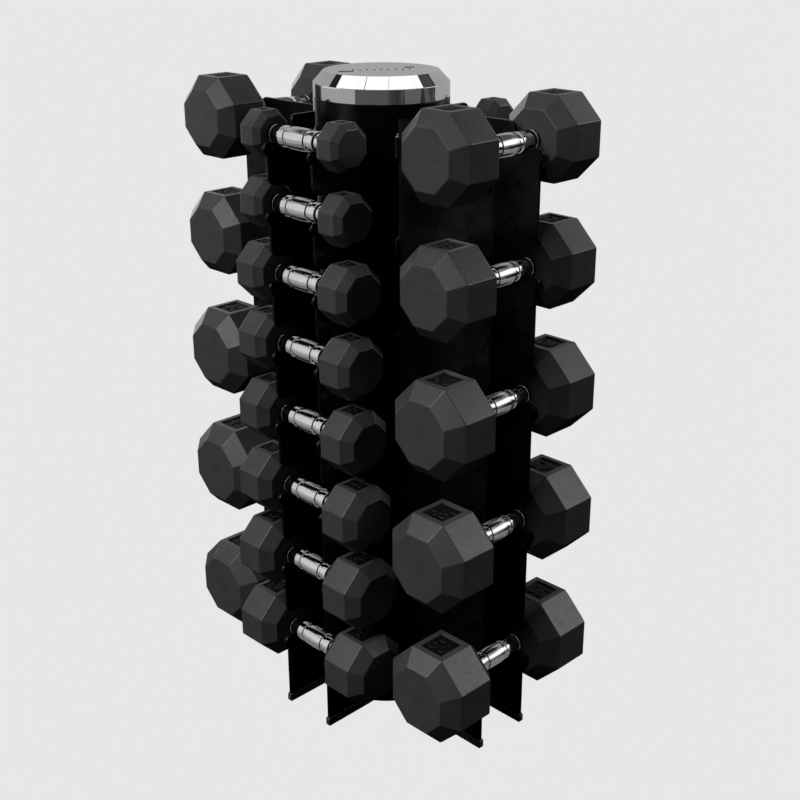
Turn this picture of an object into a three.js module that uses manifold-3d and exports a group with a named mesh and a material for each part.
// A four-sided dumbbell tower: a round steel column carried by eight upright fins, with a dumbbell
// lying in every facing pair of slots. Millimetres, +Z up, origin on the column's axis at floor level.
// The front (-Y) and the back (+Y) each hold eight small dumbbells. The right (+X) and the left (-X)
// each hold five big ones. Every dumbbell lifts out of its slots on its own.
import * as THREE from "three";
import { mergeVertices } from "three/addons/utils/BufferGeometryUtils.js";
import Module from "manifold-3d";

const wasm = await Module();
wasm.setup();

// ---- Driving dimensions ---------------------------------------------------------------------

const CLEARANCE = 0.35; // left between two separate pieces that bear on each other

const COLUMN = { radius: 101.6, wall: 3, bottom: 3, top: 999.5 };
const CAP = {
  shoulder: 1020.7, // top of the upright rim, where the slope starts
  top: 1038,
  faceRadius: 86, // the flat disc inside the slope
  wall: 3,
  spigotDepth: 22, // how far the cap reaches down inside the column
};
const ROUND_SIDES = 48; // facets round the column and the cap

const FIN = {
  offset: 49, // from the mid plane of a side to the middle of each of its two plates
  thickness: 5,
  inner: 91, // edge welded along the column
  top: 981,
  topCorner: 10,
};
const FOOT = { height: 15, width: 8, floor: 3, overhang: 2.5, chamfer: 2 };

// A slot, measured from the axis of the dumbbell handle that lies in it.
const SLOT = {
  toEdge: 25.5, // out to the fin's straight outer edge
  toRear: 21, // in to the slot's upright rear wall
  low: 30, // up to the roof of a slot for a light dumbbell
  high: 38, // up to the roof of a slot for a heavy one
  highFrom: 15, // pounds
  floor: -8.9,
  rearFloorRadius: 13,
  rearRoofRadius: 25,
  mouthRadius: 13, // rounded lower corner of the plate above the mouth
};
const CRADLE = { radius: 11.35, halfAngle: THREE.MathUtils.degToRad(38) };
const LIP = { reach: 22.5, top: -7, radius: 9.5, rootDrop: 28, turn: THREE.MathUtils.degToRad(-50) };

// The contoured handle, measured out from its middle.
const HANDLE = {
  gripRadius: 16.5,
  gripEndRadius: 15,
  gripHalf: 38,
  neckRadius: 11,
  collarRadius: 14.5,
  collarStart: 53,
  headStart: 61,
  tail: 5, // length sunk into each head
  sides: 10,
};
const HEAD = {
  chamferShare: 0.21, // of the head's length, at both ends
  lightEndShare: 0.75, // width of an end face over the width across flats
  heavyEndShare: 0.68,
  heavyFrom: 12, // pounds
};

// One row for each weight: height of the handle's axis, width across flats and length of a head.
const SMALL_DUMBBELLS = [
  { pounds: 3, height: 954, across: 67, length: 45 },
  { pounds: 5, height: 853, across: 73, length: 52 },
  { pounds: 8, height: 747, across: 86, length: 63 },
  { pounds: 10, height: 636.5, across: 89, length: 66 },
  { pounds: 12, height: 521, across: 95, length: 71 },
  { pounds: 15, height: 397.5, across: 101, length: 78 },
  { pounds: 20, height: 269, across: 110, length: 85 },
  { pounds: 25, height: 133.5, across: 113, length: 90 },
];
const BIG_DUMBBELLS = [
  { pounds: 30, height: 956, across: 123.5, length: 94 },
  { pounds: 35, height: 772.5, across: 127.5, length: 97 },
  { pounds: 40, height: 574.5, across: 139, length: 104 },
  { pounds: 45, height: 365, across: 146, length: 109 },
  { pounds: 50, height: 138, across: 147, length: 110 },
];

// reach is the distance from the column's axis out to the handles. Each side is drawn facing -Y
// and then turned into place about the column. ends names its two fins: the one drawn at -X first.
const SIDES = [
  { name: "front", turn: 0, ends: ["left", "right"], reach: 156.3, dumbbells: SMALL_DUMBBELLS },
  { name: "right", turn: Math.PI / 2, ends: ["front", "back"], reach: 241.4, dumbbells: BIG_DUMBBELLS },
  { name: "back", turn: Math.PI, ends: ["right", "left"], reach: 156.3, dumbbells: SMALL_DUMBBELLS },
  { name: "left", turn: -Math.PI / 2, ends: ["back", "front"], reach: 241.4, dumbbells: BIG_DUMBBELLS },
];

// ---- Materials ------------------------------------------------------------------------------

const powderCoat = new THREE.MeshStandardMaterial({ color: 0x0b0c0e, roughness: 0.45, metalness: 0.3 });
const chrome = new THREE.MeshStandardMaterial({ color: 0xd6d8da, roughness: 0.08, metalness: 1 });
const footRubber = new THREE.MeshStandardMaterial({ color: 0x161616, roughness: 0.8, metalness: 0 });
const headRubber = new THREE.MeshStandardMaterial({ color: 0x2c2d2f, roughness: 0.7, metalness: 0 });

// ---- Helpers --------------------------------------------------------------------------------

// A closed geometry as a manifold-3d solid, for cutting and joining.
function toSolid(geometry) {
  const bare = new THREE.BufferGeometry();
  const source = geometry.index ? geometry.toNonIndexed() : geometry;
  bare.setAttribute("position", source.getAttribute("position"));
  const merged = mergeVertices(bare, 1e-4);
  return new wasm.Manifold(
    new wasm.Mesh({
      numProp: 3,
      vertProperties: merged.attributes.position.array,
      triVerts: new Uint32Array(merged.index.array),
    }),
  );
}

function toGeometry(solid) {
  const mesh = solid.getMesh();
  const geometry = new THREE.BufferGeometry();
  geometry.setAttribute("position", new THREE.BufferAttribute(mesh.vertProperties, 3));
  geometry.setIndex(new THREE.BufferAttribute(mesh.triVerts, 1));
  return geometry;
}

// A ring or disc turned about the Y axis, from [radius, place along the axis] pairs.
function turned(profile, sides, firstAngle = 0) {
  const points = profile.map(([radius, along]) => new THREE.Vector2(radius, along));
  return new THREE.LatheGeometry(points, sides, firstAngle);
}

// The same, standing upright about Z.
function turnedUpright(profile, sides) {
  return turned(profile, sides).rotateX(Math.PI / 2);
}

function namedMesh(name, geometry, material) {
  const mesh = new THREE.Mesh(geometry, material);
  mesh.name = name;
  return mesh;
}

// ---- Column and cap -------------------------------------------------------------------------

function columnTube() {
  const bore = COLUMN.radius - COLUMN.wall;
  const wall = [
    [bore, COLUMN.bottom],
    [COLUMN.radius, COLUMN.bottom],
    [COLUMN.radius, COLUMN.top],
    [bore, COLUMN.top],
    [bore, COLUMN.bottom],
  ];
  return namedMesh("column_tube", turnedUpright(wall, ROUND_SIDES), powderCoat);
}

// A hollow chromed cap whose rim sits on the column's end, with a spigot that fits inside it.
function topCap() {
  const rim = COLUMN.top + CLEARANCE;
  const spigot = COLUMN.radius - COLUMN.wall - 2 * CLEARANCE;
  const inside = spigot - CAP.wall;
  const shell = [
    [0, CAP.top - CAP.wall],
    [CAP.faceRadius - CAP.wall, CAP.top - CAP.wall],
    [inside, CAP.shoulder],
    [inside, COLUMN.top - CAP.spigotDepth],
    [spigot, COLUMN.top - CAP.spigotDepth],
    [spigot, rim],
    [COLUMN.radius, rim],
    [COLUMN.radius, CAP.shoulder],
    [CAP.faceRadius, CAP.top],
    [0, CAP.top],
  ];
  return namedMesh("top_cap", turnedUpright(shell, ROUND_SIDES), chrome);
}

// ---- Fins and their feet --------------------------------------------------------------------

// Follows one slot of a fin, from the straight edge below its lip up to the edge above its mouth.
function drawSlot(outline, reach, dumbbell) {
  const edge = reach + SLOT.toEdge;
  const rear = reach - SLOT.toRear;
  const axis = dumbbell.height;
  const roof = axis + (dumbbell.pounds >= SLOT.highFrom ? SLOT.high : SLOT.low);
  const down = -Math.PI / 2;
  outline.lineTo(edge, axis - LIP.rootDrop);
  outline.absarc(reach + LIP.reach, axis + LIP.top - LIP.radius, LIP.radius, LIP.turn, Math.PI / 2, false);
  outline.absarc(reach, axis, CRADLE.radius, down + CRADLE.halfAngle, down - CRADLE.halfAngle, true);
  outline.absarc(
    rear + SLOT.rearFloorRadius,
    axis + SLOT.floor + SLOT.rearFloorRadius,
    SLOT.rearFloorRadius,
    down,
    -Math.PI,
    true,
  );
  if (dumbbell.openAbove) return;
  outline.absarc(
    rear + SLOT.rearRoofRadius,
    roof - SLOT.rearRoofRadius,
    SLOT.rearRoofRadius,
    Math.PI,
    Math.PI / 2,
    true,
  );
  outline.absarc(edge - SLOT.mouthRadius, roof + SLOT.mouthRadius, SLOT.mouthRadius, down, 0, false);
}

// Outline of a side's fins, with the distance out from the column as x and the height as y. The
// highest slot has no roof: above it the plate ends at the slot's rear wall.
function finOutline(side) {
  const { reach } = side;
  const wallTop = reach - SLOT.toRear;
  const outline = new THREE.Shape();
  const bottom = FOOT.floor + CLEARANCE;
  outline.moveTo(FIN.inner, bottom);
  outline.lineTo(reach + SLOT.toEdge, bottom);
  const upwards = side.dumbbells.map((row, i) => ({ ...row, openAbove: i === 0 })).reverse();
  upwards.forEach((row) => drawSlot(outline, reach, row));
  outline.absarc(wallTop - FIN.topCorner, FIN.top - FIN.topCorner, FIN.topCorner, 0, Math.PI / 2, false);
  outline.lineTo(FIN.inner, FIN.top);
  return outline;
}

// Stands an outline up in a plane of constant x, running out towards -Y, centred on that plane.
function standingPlate(outline, thickness, curveSegments) {
  const geometry = new THREE.ExtrudeGeometry(outline, { depth: thickness, bevelEnabled: false, curveSegments });
  geometry.translate(0, 0, -thickness / 2);
  const outwards = new THREE.Vector3(0, -1, 0);
  const up = new THREE.Vector3(0, 0, 1);
  const across = new THREE.Vector3(-1, 0, 0);
  return geometry.applyMatrix4(new THREE.Matrix4().makeBasis(outwards, up, across));
}

// A rubber channel pushed onto the fin's bottom edge, closed at its outer end.
function footGeometry(side) {
  const outer = side.reach + SLOT.toEdge + FOOT.overhang;
  const inner = FIN.inner + 0.6;
  const outline = new THREE.Shape();
  outline.moveTo(inner, 0);
  outline.lineTo(outer - FOOT.chamfer, 0);
  outline.lineTo(outer, FOOT.chamfer);
  outline.lineTo(outer, FOOT.height - FOOT.chamfer);
  outline.lineTo(outer - FOOT.chamfer, FOOT.height);
  outline.lineTo(inner, FOOT.height);
  const channel = new THREE.Shape();
  const channelEnd = side.reach + SLOT.toEdge + CLEARANCE;
  channel.moveTo(inner - 1, FOOT.floor);
  channel.lineTo(channelEnd, FOOT.floor);
  channel.lineTo(channelEnd, FOOT.height + 1);
  channel.lineTo(inner - 1, FOOT.height + 1);
  const block = toSolid(standingPlate(outline, FOOT.width, 1));
  const groove = toSolid(standingPlate(channel, FIN.thickness + 2 * CLEARANCE, 1));
  return toGeometry(block.subtract(groove));
}

// ---- Dumbbells ------------------------------------------------------------------------------

// An eight-sided head with a flat on top and a chamfer at both ends, starting at the collar.
function headProfile(dumbbell) {
  const share = dumbbell.pounds >= HEAD.heavyFrom ? HEAD.heavyEndShare : HEAD.lightEndShare;
  const corner = dumbbell.across / 2 / Math.cos(Math.PI / 8);
  const endCorner = corner * share;
  const chamfer = dumbbell.length * HEAD.chamferShare;
  const start = HANDLE.headStart;
  const end = start + dumbbell.length;
  return [
    [0, start],
    [endCorner, start],
    [corner, start + chamfer],
    [corner, end - chamfer],
    [endCorner, end],
    [0, end],
  ];
}

// Half of the handle from its middle to inside a head, as [radius, place] pairs.
const HALF_HANDLE = [
  [HANDLE.gripRadius, 0],
  [HANDLE.gripEndRadius, HANDLE.gripHalf],
  [HANDLE.neckRadius, HANDLE.gripHalf],
  [HANDLE.neckRadius, HANDLE.collarStart],
  [HANDLE.collarRadius, HANDLE.collarStart],
  [HANDLE.collarRadius, HANDLE.headStart + HANDLE.tail],
  [0, HANDLE.headStart + HANDLE.tail],
];

function dumbbellGeometry(dumbbell) {
  const mirrored = HALF_HANDLE.slice(1).map(([radius, along]) => [radius, -along]);
  const handle = toSolid(turned([...mirrored.reverse(), ...HALF_HANDLE], HANDLE.sides));
  const head = turned(headProfile(dumbbell), 8, Math.PI / 8);
  const nearHead = toSolid(head);
  const farHead = toSolid(head.clone().rotateZ(Math.PI));
  return toGeometry(handle.add(nearHead).add(farHead)).rotateZ(Math.PI / 2);
}

// ---- Assembly -------------------------------------------------------------------------------

function buildSide(side) {
  const group = new THREE.Group();
  group.rotation.z = side.turn;
  const plate = standingPlate(finOutline(side), FIN.thickness, 2);
  const foot = footGeometry(side);
  side.ends.forEach((end, i) => {
    const fin = namedMesh(`${side.name}_fin_${end}`, plate, powderCoat);
    const channel = namedMesh(`${side.name}_foot_${end}`, foot, footRubber);
    fin.position.x = i === 0 ? -FIN.offset : FIN.offset;
    channel.position.x = fin.position.x;
    group.add(fin, channel);
  });
  for (const row of side.dumbbells) {
    const dumbbell = namedMesh(`${side.name}_dumbbell_${row.pounds}lb`, dumbbellGeometry(row), headRubber);
    dumbbell.position.set(0, -side.reach, row.height);
    group.add(dumbbell);
  }
  return group;
}

const tower = new THREE.Group();
tower.add(columnTube(), topCap());
SIDES.forEach((side) => tower.add(buildSide(side)));

export default tower;
